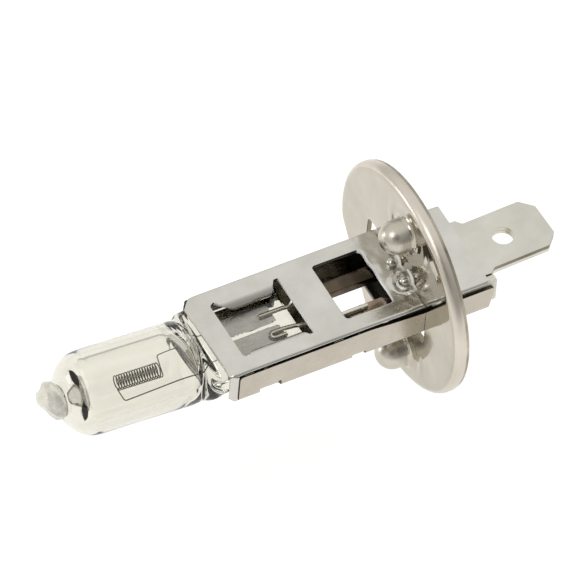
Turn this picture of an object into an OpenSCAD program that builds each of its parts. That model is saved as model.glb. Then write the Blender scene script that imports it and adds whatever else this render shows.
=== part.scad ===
// Single-filament headlight lamp with a metal cap: quartz capsule, two pressed shells,
// focus flange, ceramic insulator and a flat blade terminal.
// The lamp axis is X: the glass nose points to -X and the blade to +X. Z is up, and the
// origin is where the axis crosses the front (seating) face of the focus flange.

/* [Lamp] */
// Distance from the flange's seating face to the middle of the filament
light_centre = 25.0; // [24:0.1:30.5]
// How far the glass tube points up at its nose, in degrees
tube_pitch = 2.2; // [0:0.1:2.5]
// How far the glass tube points to +Y at its nose, in degrees
tube_yaw = 1.8; // [0:0.1:2]

/* [Glass capsule] */
// Outer diameter of the quartz tube
tube_d = 7.4; // [6.8:0.1:9]
// Wall thickness of the tube
tube_wall = 1.0; // [0.7:0.05:1.2]
// Distance from the filament's middle to the outside of the dome
dome_reach = 7.2; // [6.4:0.1:9]
// Radius of the dome's rounded shoulder
dome_round = 2.7; // [1.5:0.1:3.2]
// Glass thickness at the middle of the dome
dome_wall = 1.7; // [1.5:0.1:2.5]
// Diameter of the bead left where the exhaust tube was melted off
tip_bead_d = 3.3; // [2.6:0.1:4]
// Length of the exhaust tip beyond the dome
tip_len = 1.9; // [1.8:0.1:3]
// Width of the pinch seal
pinch_w = 8.5; // [7.8:0.1:8.7]
// Thickness of the pinch seal's two side ribs
pinch_rib_t = 2.2; // [1.8:0.1:2.5]
// Thickness of the flat web between the ribs
pinch_web_t = 1.2; // [1.1:0.05:1.4]
// Width of each side rib
pinch_rib_w = 0.9; // [0.6:0.1:1]
// Length of the pinch seal behind the shell's mouth
pinch_len = 8.3; // [7.5:0.1:8.6]

/* [Filament] */
// Length of the coil
coil_len = 4.1; // [3:0.1:5]
// Outer diameter of the coil
coil_d = 1.4; // [0.9:0.05:1.6]
// Number of turns
coil_turns = 17; // [10:1:20]
// Diameter of the tungsten wire
wire_d = 0.1; // [0.1:0.01:0.16]

/* [Foils and leads] */
// Width of each molybdenum foil
foil_w = 1.9; // [1.4:0.1:2.2]
// Thickness of each foil
foil_t = 0.08; // [0.05:0.01:0.1]
// Length of each foil
foil_len = 5.2; // [4.5:0.1:5.4]
// Gap between the two foils
foil_gap = 0.36; // [0.3:0.02:0.6]
// Diameter of the outer lead wires
lead_d = 0.45; // [0.4:0.01:0.48]

/* [Shells] */
// Width of the upper shell's top plate
plate_w = 9.4; // [9.2:0.1:9.8]
// Length of the upper shell in front of the flange
plate_front = 18.6; // [18:0.1:23]
// Length of the upper shell behind the flange
plate_rear = 6.1; // [5.4:0.1:7.4]
// Height of the upper shell's top face above the lamp axis
plate_top = 1.7; // [1.6:0.05:2]
// Width of the lower shell over its side walls
channel_w = 9.6; // [9.6:0.1:10]
// Length of the lower shell in front of the flange
channel_front = 17.7; // [17.2:0.1:22]
// Length of the lower shell behind the flange
channel_rear = 6.6; // [5.8:0.1:8]
// Depth of the lower shell's bottom face below the lamp axis
channel_bottom = 1.75; // [1.7:0.05:2.1]
// Thickness of the shells' sheet
sheet_t = 0.35; // [0.3:0.01:0.35]
// Gap between the top plate and the side walls' upper edge
seam_gap = 0.06; // [0.05:0.01:0.2]
// How much lower the side walls stand from the flange backwards
wall_drop = 0.45; // [0.2:0.05:0.6]

/* [Windows] */
// Width of both windows
window_w = 6.4; // [5.8:0.1:6.6]
// Length of the front window
front_window_len = 6.65; // [6:0.05:7]
// Length of the rear window
rear_window_len = 4.6; // [3.8:0.1:4.8]
// Length of the bridge between the two windows
bridge_len = 3.1; // [2.6:0.1:3.6]
// Distance from the flange's seating face to the rear window
rear_window_gap = 2.2; // [2:0.1:2.6]
// Length of each clamping flap
flap_len = 4.0; // [3:0.1:4.4]
// Outer bend radius of each clamping flap
flap_bend = 1.02; // [0.8:0.01:1.03]

/* [Focus flange] */
// Outer diameter of the flange
flange_d = 20.7; // [19.5:0.1:25.1]
// Depth of the flange over its turned rim
flange_depth = 1.35; // [1:0.05:1.6]
// Thickness of the flange's sheet
flange_t = 0.45; // [0.4:0.01:0.5]
// Outer radius of the rim's bend
rim_bend = 0.75; // [0.6:0.05:0.9]
// Distance from the flange's centre to its flat
chord_reach = 9.34; // [8.9:0.02:9.5]
// Direction of the flat, in degrees from +Y towards -Z
chord_angle = 38; // [30:1:45]
// Diameter of the circle that the two bosses stand on
boss_circle = 14.1; // [13.6:0.1:14.8]
// Diameter of each boss
boss_d = 3.0; // [2.6:0.1:3.2]
// Height of each boss above the seating face
boss_h = 2.6; // [2:0.1:2.8]
// Bend radius round the foot of each boss
boss_foot = 0.45; // [0.3:0.05:0.5]
// Turn of the upper boss from +Z towards -Y, in degrees
boss_upper_angle = 5.5; // [0:0.5:12]
// Turn of the lower boss from -Z towards -Y, in degrees
boss_lower_angle = 14.5; // [5:0.5:20]
// Distance that the flange's centre sits below the lamp axis
flange_drop = 0.2; // [0:0.05:0.3]
// How far the disc's middle lies beyond the axis, towards its flat
flange_shift = 0.2; // [0:0.05:0.3]

/* [Insulator and blade] */
// Length of the ceramic insulator in front of the flange
insulator_front = 0.9; // [0.6:0.1:1.4]
// Length of the ceramic insulator behind the flange
insulator_rear = 7.1; // [6.7:0.1:8.6]
// Width of the blade terminal
blade_w = 5.4; // [5.4:0.1:6.3]
// Width of the blade's shoulders
shoulder_w = 6.4; // [6.3:0.1:6.6]
// Thickness of the blade terminal
blade_t = 0.8; // [0.7:0.05:0.85]
// Distance from the flange's seating face to the blade's end
blade_reach = 13.85; // [13:0.05:16.6]
// Distance from the blade's end to the middle of its hole
hole_setback = 4.1; // [3.6:0.1:4.4]
// Diameter of the hole in the blade
hole_d = 1.9; // [1.5:0.05:2.2]
// Chamfer of the blade's two corners
blade_chamfer = 1.1; // [0.6:0.1:1.5]
// Turn of the blade towards +Y, in degrees
blade_yaw = 1.8; // [0:0.1:2]
// Sideways place of the blade's hole
blade_y = -0.34; // [-0.5:0.01:0.2]

/* [Hidden] */
$fn = 48;

seal_gap = 0.01;      // room round what is sealed in the glass
fit_gap = 0.05;       // room between pieces that lie against each other
corner_r = 0.35;      // window corners
cut = 1;              // how far a cutting shape runs past a face

plate_under = plate_top - sheet_t;
floor_top = sheet_t - channel_bottom;
wall_out = channel_w / 2;
wall_in = wall_out - sheet_t;
wall_top = plate_under - seam_gap;

rear_window_x = -rear_window_gap - rear_window_len;
front_window_x = rear_window_x - bridge_len - front_window_len;
flap_x = front_window_x + (front_window_len - flap_len) / 2;
relief_r = 0.35;
flap_inner = flap_bend - sheet_t;

mouth_x = -plate_front;
pinch_x = mouth_x - 0.5;
pinch_end = mouth_x + pinch_len;
tube_r = tube_d / 2;
bore_r = tube_r - tube_wall;
tube_rear = pinch_x + light_centre + 0.1;
rear_round = 1.5;
cavity_rear = tube_rear - 1.3;

foil_y = (foil_gap + foil_w) / 2;
foil_x = pinch_end - 1.3 - foil_len;
wire_on_foil = (foil_t + wire_d) / 2 + seal_gap;
lead_on_foil = (foil_t + lead_d) / 2 + seal_gap;

flange_r = flange_d / 2;
boss_r = boss_d / 2;
hole_top = 2.1;
hole_bottom = -3.3;
hole_near = -wall_out - 0.03;
hole_far = 5.75;
weld_r = 0.55;
upper_weld_y = [-1.7, 0.6];

blade_top = 1.2;
blade_under = blade_top - blade_t;
hole_x = blade_reach - hole_setback;
shoulder_x = 6.9;
shoulder_taper = 0.45;
blade_root = -1.6;
tongue_w = 0.9;
tongue_y = -2.1;
tongue_tip = -6.4;
tongue_t = 0.4;
corner_cut = 2.0;       // the insulator's rear corner, cut off on the far side
root_tab = [-6.9, 0.3, 1.6]; // front end and both sides of the second prong before the blade's root

function unit(v) = v / norm(v);

// A point of the glass tube, turned by the tube's pitch and yaw about the filament's middle
function tilt(p) =
    let (q = [p.x * cos(tube_pitch) + p.z * sin(tube_pitch), p.y,
              -p.x * sin(tube_pitch) + p.z * cos(tube_pitch)])
    [q.x * cos(tube_yaw) + q.y * sin(tube_yaw) - light_centre,
     -q.x * sin(tube_yaw) + q.y * cos(tube_yaw), q.z];

module tilted() {
    translate([-light_centre, 0, 0]) rotate([0, tube_pitch, -tube_yaw]) children();
}

// A path with each inner corner turned into a short curve
function rounded(points, reach, steps = 4) = [
    points[0],
    for (i = [1 : len(points) - 2])
        let (
            before = points[i] + min(reach, norm(points[i - 1] - points[i]) / 2)
                * unit(points[i - 1] - points[i]),
            after = points[i] + min(reach, norm(points[i + 1] - points[i]) / 2)
                * unit(points[i + 1] - points[i])
        )
        for (s = [0 : steps])
            let (t = s / steps)
            (1 - t) * (1 - t) * before + 2 * t * (1 - t) * points[i] + t * t * after,
    points[len(points) - 1]
];

function tangents(path) = [
    for (i = [0 : len(path) - 1])
        unit(path[min(i + 1, len(path) - 1)] - path[max(i - 1, 0)])
];

// The side direction of each ring, carried along the path without twisting
function sides_of(t, first) = [
    for (
        i = 0, n = unit(first - (first * t[0]) * t[0]);
        i < len(t);
        n = i + 1 < len(t) ? unit(n - (n * t[i + 1]) * t[i + 1]) : n, i = i + 1
    ) n
];

// A round wire of diameter d along a path
module wire(path, d, sides = 8, first = [0, 0, 1]) {
    t = tangents(path);
    n = sides_of(t, first);
    last = len(path) - 1;
    points = [
        for (i = [0 : last], s = [0 : sides - 1])
            path[i] + d / 2 * (cos(s * 360 / sides) * n[i]
                + sin(s * 360 / sides) * cross(t[i], n[i]))
    ];
    walls = [
        for (i = [0 : last - 1], s = [0 : sides - 1])
            [i * sides + s, (i + 1) * sides + s,
             (i + 1) * sides + (s + 1) % sides, i * sides + (s + 1) % sides]
    ];
    polyhedron(points, concat(walls,
        [[for (s = [0 : sides - 1]) s]],
        [[for (s = [0 : sides - 1]) last * sides + sides - 1 - s]]));
}

// A straight round rod between two points
module rod(a, b, d) {
    v = b - a;
    translate(a)
        rotate([0, acos(v.z / norm(v)), atan2(v.y, v.x)])
            cylinder(h = norm(v), d = d);
}

// A flat block given by its lowest and highest corners
module block(low, high) {
    translate(low) cube(high - low);
}

// A window through a plate, with round corners
module window(x, length, width) {
    translate([x + corner_r, corner_r - width / 2, -cut])
        linear_extrude(2 * channel_bottom + 2 * cut)
            offset_square(length - 2 * corner_r, width - 2 * corner_r, corner_r);
}

// A rectangle with round corners, drawn from plain squares and circles
module offset_square(length, width, r) {
    translate([-r, 0]) square([length + 2 * r, width]);
    translate([0, -r]) square([length, width + 2 * r]);
    for (x = [0, length], y = [0, width]) translate([x, y]) circle(r);
}

/* Filament: one tungsten wire, coiled in the middle and led into the pinch at both ends */

coil_r = (coil_d - wire_d) / 2;
coil_steps = 14;
near_leg_y = -1.8;
far_leg_y = 1.5;
leg_end_x = foil_x + 0.8;
leg_seal_x = pinch_x - 0.9;

coil_path = [
    for (i = [0 : coil_turns * coil_steps])
        let (a = i * 360 / coil_steps, x = coil_len * (i / (coil_turns * coil_steps) - 0.5))
        tilt([x, -coil_r * cos(a), coil_r * sin(a)])
];
near_seal = [leg_seal_x, near_leg_y, wire_on_foil];
far_seal = [leg_seal_x, far_leg_y, wire_on_foil];
near_end = [leg_end_x, -foil_y - 0.3, wire_on_foil];
far_end = [leg_end_x, foil_y, wire_on_foil];
near_leg = rounded([
    near_end, near_seal, tilt([-coil_len / 2 - 0.15, near_leg_y - 0.2, 0.1]),
    tilt([-coil_len / 2 - 0.1, 0.1 - coil_r, -0.1]), coil_path[0] + [0, 0.1, -0.1]
], 0.25);
far_leg = rounded([
    coil_path[len(coil_path) - 1] + [0.05, 0.1, -0.1], tilt([coil_len / 2 + 0.45, far_leg_y, 0.1]),
    far_seal, far_end
], 0.25);

module filament() {
    color("dimgray")
        wire(concat(near_leg, coil_path, far_leg), wire_d, 6);
}

/* Glass */

// Half outline of the tube with its dome and tip, from the nose backwards, about the axis
module tube_outline() {
    tip_r = tip_bead_d / 2;
    bead_x = -dome_reach - tip_r * 0.45;
    intersection() {
        union() {
            translate([-dome_reach + dome_round, 0])
                square([dome_reach - dome_round + tube_rear - rear_round, tube_r]);
            translate([-dome_reach, 0]) square([dome_round + cut, tube_r - dome_round]);
            translate([-dome_reach + dome_round, tube_r - dome_round]) circle(dome_round);
            translate([bead_x, 0]) circle(tip_r);
            polygon([[-dome_reach - tip_len, 0], [-dome_reach - tip_len + 0.25, 0.35],
                     [bead_x, tip_r * 0.8], [bead_x, 0]]);
            translate([tube_rear - rear_round, 0]) square([rear_round, tube_r - rear_round]);
            translate([tube_rear - rear_round, tube_r - rear_round]) circle(rear_round);
        }
        translate([-dome_reach - tip_len, 0]) square([2 * dome_reach + tip_len + 6, tube_r]);
    }
}

module cavity_outline() {
    front = -dome_reach + dome_wall;
    round_r = 0.8;
    translate([front + round_r, 0]) square([cavity_rear - front - round_r - 1.5, bore_r]);
    translate([front, 0]) square([round_r + cut, bore_r - round_r]);
    translate([front + round_r, bore_r - round_r]) circle(round_r);
    polygon([[cavity_rear - 1.6, 0], [cavity_rear - 1.6, bore_r], [cavity_rear, 1.6], [cavity_rear, 0]]);
}

// Turns an outline drawn over the X axis about that axis
module about_axis() {
    rotate([0, 90, 0]) rotate_extrude($fn = 96) rotate(90) mirror([1, 0]) rotate(180) children();
}

module pinch() {
    shoulder = 0.9;
    difference() {
        union() {
            block([pinch_x, -pinch_w / 2 + shoulder, -pinch_rib_t / 2],
                  [pinch_end, pinch_w / 2 - shoulder, pinch_rib_t / 2]);
            block([pinch_x + shoulder, -pinch_w / 2, -pinch_rib_t / 2],
                  [pinch_end, pinch_w / 2, pinch_rib_t / 2]);
            for (side = [-1, 1])
                translate([pinch_x + shoulder, side * (pinch_w / 2 - shoulder), -pinch_rib_t / 2])
                    cylinder(r = shoulder, h = pinch_rib_t);
        }
        for (side = [-1, 1])
            translate([pinch_x + 1.6, pinch_rib_w - pinch_w / 2,
                       side > 0 ? pinch_web_t / 2 : -pinch_web_t / 2 - cut])
                cube([pinch_len + cut, pinch_w - 2 * pinch_rib_w, cut]);
    }
}

module glass_capsule() {
    color("lightcyan", 0.4)
        difference() {
            union() {
                tilted() about_axis() tube_outline();
                pinch();
            }
            tilted() about_axis() cavity_outline();
            for (side = [-1, 1])
                block([foil_x - seal_gap, side * foil_y - foil_w / 2 - seal_gap, -foil_t / 2 - seal_gap],
                      [foil_x + foil_len + seal_gap, side * foil_y + foil_w / 2 + seal_gap,
                       foil_t / 2 + seal_gap]);
            rod(near_seal + 1.2 * (near_seal - near_end) / norm(near_seal - near_end),
                near_end + [seal_gap, 0, 0], wire_d + 2 * seal_gap);
            rod(far_seal + 1.2 * (far_seal - far_end) / norm(far_seal - far_end),
                far_end + [seal_gap, 0, 0], wire_d + 2 * seal_gap);
            for (side = [-1, 1])
                rod([lead_start_x - seal_gap, side * foil_y, lead_on_foil],
                    [pinch_end + cut, side * foil_y, lead_on_foil], lead_d + 2 * seal_gap);
        }
}

/* Foils and outer leads */

lead_start_x = foil_x + foil_len - 1.2;

module foil(side) {
    color("slategray")
        block([foil_x, side * foil_y - foil_w / 2, -foil_t / 2],
              [foil_x + foil_len, side * foil_y + foil_w / 2, foil_t / 2]);
}

tongue_top = blade_under + tongue_t;
live_end = [tongue_tip + 2.2, tongue_y, tongue_top + lead_d / 2 + seal_gap];
ground_z = plate_under - lead_d / 2 - seal_gap;
ground_end = [rear_window_x - 0.7, foil_y + 0.9, ground_z];

module lead_live() {
    color("silver")
        wire(rounded([
            [lead_start_x, -foil_y, lead_on_foil], [pinch_end + 0.7, -foil_y, lead_on_foil],
            [tongue_tip - 0.4, tongue_y, live_end.z], live_end
        ], 0.5), lead_d, 12);
}

module lead_ground() {
    color("silver")
        wire(rounded([
            [lead_start_x, foil_y, lead_on_foil], [pinch_end + 0.6, foil_y, lead_on_foil],
            [ground_end.x - 1.4, ground_end.y, ground_z], ground_end
        ], 0.4), lead_d, 12);
}

// Fused metal over a lead's end, on a surface below it (side = 1) or above it (side = -1)
module lead_weld(end, side) {
    nugget_d = 0.85;
    slot_r = lead_d / 2 + seal_gap;
    translate(end - [0.5, 0, 0]) mirror([0, 0, side < 0 ? 1 : 0])
        difference() {
            sphere(d = nugget_d);
            block([-cut, -cut, -cut - slot_r], [cut, cut, -slot_r]);
            block([-cut, -slot_r, -cut], [cut, slot_r, 0]);
            translate([-cut, 0, 0]) rotate([0, 90, 0]) cylinder(r = slot_r, h = 2 * cut);
        }
}

module lead_welds() {
    color("gray") {
        lead_weld(live_end, 1);
        lead_weld(ground_end, -1);
    }
}

/* Shells */

module clamping_flap(side) {
    foot = [flap_x, side * window_w / 2, plate_top - flap_bend];
    translate(foot) rotate([90, 0, 90]) linear_extrude(flap_len)
        intersection() {
            difference() {
                circle(flap_bend);
                circle(flap_inner);
            }
            translate([side > 0 ? -flap_bend : 0, 0]) square(flap_bend);
        }
}

module upper_shell() {
    half = plate_w / 2;
    corner = 1.0;
    front_tab = 0.75;
    color("gainsboro") {
        difference() {
            translate([0, 0, plate_under]) linear_extrude(sheet_t)
                polygon([
                    [mouth_x, half - corner], [mouth_x + corner, half],
                    [plate_rear, half], [plate_rear, -half],
                    [mouth_x + corner, -half], [mouth_x, corner - half]
                ]);
            window(front_window_x, front_window_len, window_w);
            window(rear_window_x, rear_window_len, window_w);
            for (x = [flap_x, flap_x + flap_len], side = [-1, 1])
                translate([x + (x > flap_x ? relief_r : -relief_r), side * window_w / 2, 0])
                    cylinder(r = relief_r, h = plate_top + cut);
        }
        for (side = [-1, 1]) clamping_flap(side);
        for (side = [-1, 1])
            block([mouth_x + corner - front_tab, side > 0 ? wall_in : -half, floor_top + fit_gap],
                  [-channel_front - fit_gap, side > 0 ? half : -wall_in, plate_under]);
    }
}

// Outline of the lower shell's side wall, seen along Y
module wall_outline() {
    step_x = -5.2;
    step_run = 2.0;
    rear_chamfer = 0.5;
    polygon([
        [-channel_front, -channel_bottom], [-channel_front, wall_top - 0.3],
        [-channel_front + 0.3, wall_top], [step_x, wall_top],
        [step_x + step_run, wall_top - wall_drop / 2], [0, wall_top - wall_drop],
        [channel_rear, wall_top - wall_drop], [channel_rear, 0.5],
        [channel_rear - rear_chamfer, -channel_bottom]
    ]);
}

module lower_shell() {
    recess = 0.25;
    recess_len = 1.7;
    recess_x = [front_window_x + 0.95, rear_window_x];
    color("tan")
        difference() {
            union() {
                for (side = [-1, 1])
                    translate([0, side > 0 ? wall_out : -wall_in, 0])
                        rotate([90, 0, 0]) linear_extrude(sheet_t) wall_outline();
                block([-channel_front, -wall_in - sheet_t / 2, -channel_bottom],
                      [channel_rear - 0.5, wall_in + sheet_t / 2, floor_top]);
            }
            translate([0, 0, -channel_bottom - plate_under]) {
                window(front_window_x, front_window_len, window_w);
                window(rear_window_x, rear_window_len, window_w);
            }
            for (x = recess_x, side = [-1, 1])
                translate([x, side * wall_out - sheet_t, -channel_bottom - cut])
                    cube([recess_len, 2 * sheet_t, cut + recess]);
        }
}

// Seam welds in the corner between the top plate and the side walls
module shell_welds() {
    bead_len = 0.9;
    bead_r = 0.28;
    color("gray")
        for (x = [-17.3, -8.8], side = [-1, 1])
            difference() {
                translate([x, side * wall_in, plate_under]) rotate([0, 90, 0])
                    cylinder(r = bead_r, h = bead_len);
                block([x - cut, side > 0 ? wall_in : -wall_in - cut, plate_under - cut],
                      [x + bead_len + cut, side > 0 ? wall_in + cut : -wall_in, wall_top]);
                block([x - cut, -wall_out - cut, plate_under],
                      [x + bead_len + cut, wall_out + cut, plate_under + cut]);
            }
}

/* Focus flange */

// Section of the flange's turned sheet, with the radius along X and the depth along Y
module flange_section() {
    difference() {
        union() {
            square([flange_r - rim_bend, flange_t]);
            translate([flange_r - rim_bend, rim_bend]) intersection() {
                circle(rim_bend);
                translate([0, -rim_bend]) square(rim_bend);
            }
            translate([flange_r - rim_bend, rim_bend]) square([rim_bend, flange_depth - rim_bend]);
        }
        translate([0, rim_bend]) square([flange_r - flange_t, flange_depth]);
        translate([flange_r - rim_bend, rim_bend]) circle(rim_bend - flange_t);
        translate([0, flange_t]) square([flange_r - rim_bend, flange_depth]);
    }
}

// Section of a hollow boss over its foot, with the radius along X and the height along Y
module boss_section() {
    dome_y = boss_h - boss_r;
    inner = boss_r - flange_t * 0.8;
    difference() {
        union() {
            translate([0, -flange_t]) square([boss_r + boss_foot, flange_t]);
            square([boss_r, dome_y]);
            translate([0, dome_y]) intersection() {
                circle(boss_r);
                square(boss_r);
            }
            difference() {
                square([boss_r + boss_foot, boss_foot]);
                translate([boss_r + boss_foot, boss_foot]) circle(boss_foot);
            }
        }
        translate([0, -flange_t - cut]) square([inner, dome_y + flange_t + cut]);
        translate([0, dome_y]) circle(inner);
    }
}

function boss_place(upper) =
    upper
        ? [-boss_circle / 2 * sin(boss_upper_angle), boss_circle / 2 * cos(boss_upper_angle)]
        : [-boss_circle / 2 * sin(boss_lower_angle), -boss_circle / 2 * cos(boss_lower_angle)];

module focus_flange() {
    color("silver") {
        difference() {
            translate([0, flange_shift, -flange_drop]) rotate([0, 90, 0]) rotate_extrude($fn = 128)
                flange_section();
            block([-cut, hole_near, hole_bottom], [flange_depth + cut, hole_far, hole_top]);
            for (y = upper_weld_y)
                translate([-cut, y, hole_top]) rotate([0, 90, 0])
                    cylinder(r = weld_r + 0.15, h = flange_depth + 2 * cut);
            translate([0, flange_shift, -flange_drop]) rotate([-chord_angle, 0, 0])
                block([-cut, chord_reach, -flange_r], [flange_depth + cut, flange_d, flange_r]);
            for (upper = [true, false])
                translate([-cut, boss_place(upper).x, boss_place(upper).y - flange_drop])
                    rotate([0, 90, 0])
                        cylinder(r = boss_r + boss_foot, h = flange_t + 2 * cut);
        }
        for (upper = [true, false])
            translate([0, boss_place(upper).x, boss_place(upper).y - flange_drop])
                rotate([0, -90, 0]) rotate_extrude() boss_section();
    }
}

// Weld beads that hold the flange on the top plate, lying in the notches of its opening
module flange_welds() {
    color("gray")
        for (y = upper_weld_y)
            difference() {
                translate([-0.25, y, plate_top + 0.12]) sphere(weld_r);
                block([-2, y - 1, plate_top - 1], [2, y + 1, plate_top]);
            }
}

/* Insulator and blade */

module insulator() {
    half = wall_in - 0.1;
    top = wall_top - wall_drop + 0.3;
    color("ivory")
        difference() {
            block([-insulator_front, -half, floor_top + fit_gap], [insulator_rear, half, top]);
            block([-insulator_front - cut, tongue_y - tongue_w / 2 - fit_gap, blade_under - fit_gap],
                  [0, shoulder_w / 2 + fit_gap, top + cut]);
            block([blade_root - fit_gap, blade_y - shoulder_w / 2 - 2 * fit_gap, blade_under - fit_gap],
                  [insulator_rear + cut, blade_y + shoulder_w / 2 + 4 * fit_gap, top + cut]);
            translate([insulator_rear, half, floor_top]) linear_extrude(top - floor_top + cut)
                polygon([[-corner_cut, 0], [cut, -corner_cut - cut], [cut, cut], [-corner_cut, cut]]);
        }
}

// Places the blade's outline, drawn with its hole at X = hole_x on the X axis
module blade_placed() {
    translate([hole_x, blade_y, 0]) rotate(blade_yaw) translate([-hole_x, 0, 0]) children();
}

module blade_terminal() {
    half = blade_w / 2;
    color("silver") {
        difference() {
            union() {
                blade_placed() translate([0, 0, blade_under]) linear_extrude(blade_t)
                    polygon([
                        [shoulder_x - 0.4, half], [shoulder_x - 0.4, -half],
                        [blade_reach - blade_chamfer, -half], [blade_reach, blade_chamfer - half],
                        [blade_reach, half - blade_chamfer], [blade_reach - blade_chamfer, half]
                    ]);
                translate([0, blade_y, blade_under]) linear_extrude(blade_t)
                    polygon([
                        [blade_root, shoulder_w / 2], [blade_root, -shoulder_w / 2],
                        [shoulder_x, -shoulder_w / 2], [shoulder_x + shoulder_taper, -half],
                        [shoulder_x + shoulder_taper, half], [shoulder_x, shoulder_w / 2]
                    ]);
            }
            translate([hole_x, blade_y, blade_under - cut]) cylinder(d = hole_d, h = blade_t + 2 * cut);
        }
        block([root_tab[0], root_tab[1], blade_under], [blade_root + 0.5, root_tab[2], blade_top]);
        translate([0, 0, blade_under]) linear_extrude(tongue_t)
            polygon([
                [blade_root + 0.5, tongue_y - tongue_w / 2], [blade_root + 0.5, tongue_y + tongue_w / 2],
                [tongue_tip + 0.5, tongue_y + tongue_w / 2], [tongue_tip, tongue_y],
                [tongue_tip + 0.5, tongue_y - tongue_w / 2]
            ]);
    }
}

glass_capsule();
filament();
foil(-1);  // foil_live
foil(1);  // foil_ground
lead_live();
lead_ground();
upper_shell();
lower_shell();
shell_welds();
focus_flange();
flange_welds();
insulator();
blade_terminal();
lead_welds();
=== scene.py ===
# Halogen headlight lamp: quartz capsule in a two-shell metal cap, focus flange, ceramic
# insulator and blade terminal. The lamp axis is X with the glass nose at -X, Z is up from the
# top plate, and the origin is on the flange's seating face. Shapes are drawn in millimetres
# and scaled to metres as their last step.
import math

import bmesh
import bpy
from mathutils import Matrix, Vector, geometry, kdtree, noise


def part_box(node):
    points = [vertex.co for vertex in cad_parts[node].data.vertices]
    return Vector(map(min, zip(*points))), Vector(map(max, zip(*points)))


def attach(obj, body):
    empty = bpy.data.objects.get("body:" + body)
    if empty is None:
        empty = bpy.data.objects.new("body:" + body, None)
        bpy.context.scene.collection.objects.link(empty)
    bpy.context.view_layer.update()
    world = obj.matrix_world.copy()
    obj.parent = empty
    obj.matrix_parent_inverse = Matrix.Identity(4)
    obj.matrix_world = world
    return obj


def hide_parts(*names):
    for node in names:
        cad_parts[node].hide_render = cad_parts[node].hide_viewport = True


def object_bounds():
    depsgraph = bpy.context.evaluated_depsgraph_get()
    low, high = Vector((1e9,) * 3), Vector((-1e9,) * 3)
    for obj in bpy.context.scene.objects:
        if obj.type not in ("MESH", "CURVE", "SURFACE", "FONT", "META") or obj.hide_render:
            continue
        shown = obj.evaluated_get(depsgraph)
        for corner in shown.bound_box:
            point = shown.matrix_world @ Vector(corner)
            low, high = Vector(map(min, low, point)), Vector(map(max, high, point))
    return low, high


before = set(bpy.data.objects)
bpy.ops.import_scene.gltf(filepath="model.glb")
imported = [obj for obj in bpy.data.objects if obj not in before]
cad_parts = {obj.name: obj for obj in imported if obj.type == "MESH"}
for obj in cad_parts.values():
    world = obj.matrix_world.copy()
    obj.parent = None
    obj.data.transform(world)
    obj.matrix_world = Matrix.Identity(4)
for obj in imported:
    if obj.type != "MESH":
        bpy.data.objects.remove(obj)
cad_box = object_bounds()

MM = 0.001

# Capsule
LIGHT_CENTRE = 25.0
TUBE_PITCH = math.radians(2.2)
TUBE_YAW = math.radians(1.8)
TUBE_R = 3.7
BORE_R = 2.75
DOME_REACH = 7.2
DOME_ROUND = 2.7
DOME_WALL = 1.75
CAVITY_ROUND = 0.85
TIP_R = 1.65
TIP_LEN = 1.9
TIP_LEAN = 0.45
TIP_WIDEST = 1.7
CAPSULE_SIDES = 96
SHOULDER = (3.9, 6.5)
CAVITY_RISE = 0.05
FUNNEL_DEPTH = 0.5
FUNNEL_R = 0.45
CAVITY_REAR = 2.4
CAVITY_TAPER = 2.6
PINCH_X = -19.1
PINCH_END = -10.3
PINCH_W = 8.5
PINCH_RIB_T = 2.2
PINCH_WEB_T = 1.2
PINCH_RIB_W = 0.9

# Filament, foils and leads
COIL_LEN = 4.1
COIL_D = 1.4
COIL_TURNS = 17
WIRE_D = 0.1
FOIL_W = 1.9
FOIL_GAP = 0.36
FOIL_T = 0.08
FOIL_X = -16.8
FOIL_LEN = 5.2
LEAD_D = 0.45

# Shells
SHEET_T = 0.35
PLATE_TOP = 1.7
PLATE_HALF = 4.7
PLATE_FRONT = -18.6
PLATE_REAR = 6.1
CHANNEL_HALF = 4.8
CHANNEL_FRONT = -17.7
CHANNEL_REAR = 6.6
CHANNEL_BOTTOM = -1.8
CHANNEL_BEND = 0.37
WALL_TOP = 1.2
WALL_DROP = 0.4
FRONT_WINDOW = (-16.55, -9.9)
REAR_WINDOW = (-6.8, -2.2)
WINDOW_HALF = 3.2
FLAP_BEND = 1.02
FLAP_LEN = 1.35
FLAP_ROOT = 0.1
NOTCH = 0.45
EDGE_BEND = 0.28
EDGE_SOFTNESS = 0.035
LIP_LEN = 0.85

# Flange
FLANGE_R = 10.38
FLANGE_DEPTH = 1.35
FLANGE_T = 0.45
FLANGE_DROP = 0.2
FLANGE_Y = 0.2
RIM_BEND = 0.7
CHORD_REACH = 9.34
CHORD_ANGLE = math.radians(-38)
BOSS_CIRCLE_R = 7.05
BOSS_R = 1.5
BOSS_H = 2.6
BOSS_FOOT = 0.45
BOSS_SIDES = 56
BOSSES = [(math.radians(5.5), 1), (math.radians(14.5), -1)]
HOLE = (-4.83, 5.75, -3.3, 2.1)
WELD_R = 0.55
WELD_X = -0.45
WELD_Y = (-1.7, 0.6)
SPATTER = (-6.18, 6.27)

# Insulator and blade
INSULATOR_FRONT = -0.9
CORNER_CUT = 2.0
BLADE_HALF = 2.7
SHOULDER_HALF = 3.2
BLADE_TOP = 1.2
BLADE_T = 0.8
BLADE_REACH = 13.85
BLADE_CHAMFER = 1.1
BLADE_Y = -0.34
BLADE_YAW = math.radians(1.8)
BLADE_HOLE_X = 9.75
BLADE_HOLE_R = 0.95
SHOULDER_X = 6.9
SHOULDER_TAPER = 0.45
BLADE_ROOT = -1.6
ROOT_TAB = (-6.9, 0.3, 1.6)
TONGUE_Y = -2.1
TONGUE_HALF = 0.45
TONGUE_TIP = -6.4
TONGUE_T = 0.4
NUGGET_R = 0.3
NUGGET_SINK = 0.2

# Unlit parts of the studio: azimuth, elevation, cosines of the outer and the inner edge, light left
DARK_ROOMS = [(-32, 45, 0.86, 0.96, 0.25), (22, 22, 0.62, 0.95, 0.5)]


# ---------------------------------------------------------------- small tools


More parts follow.
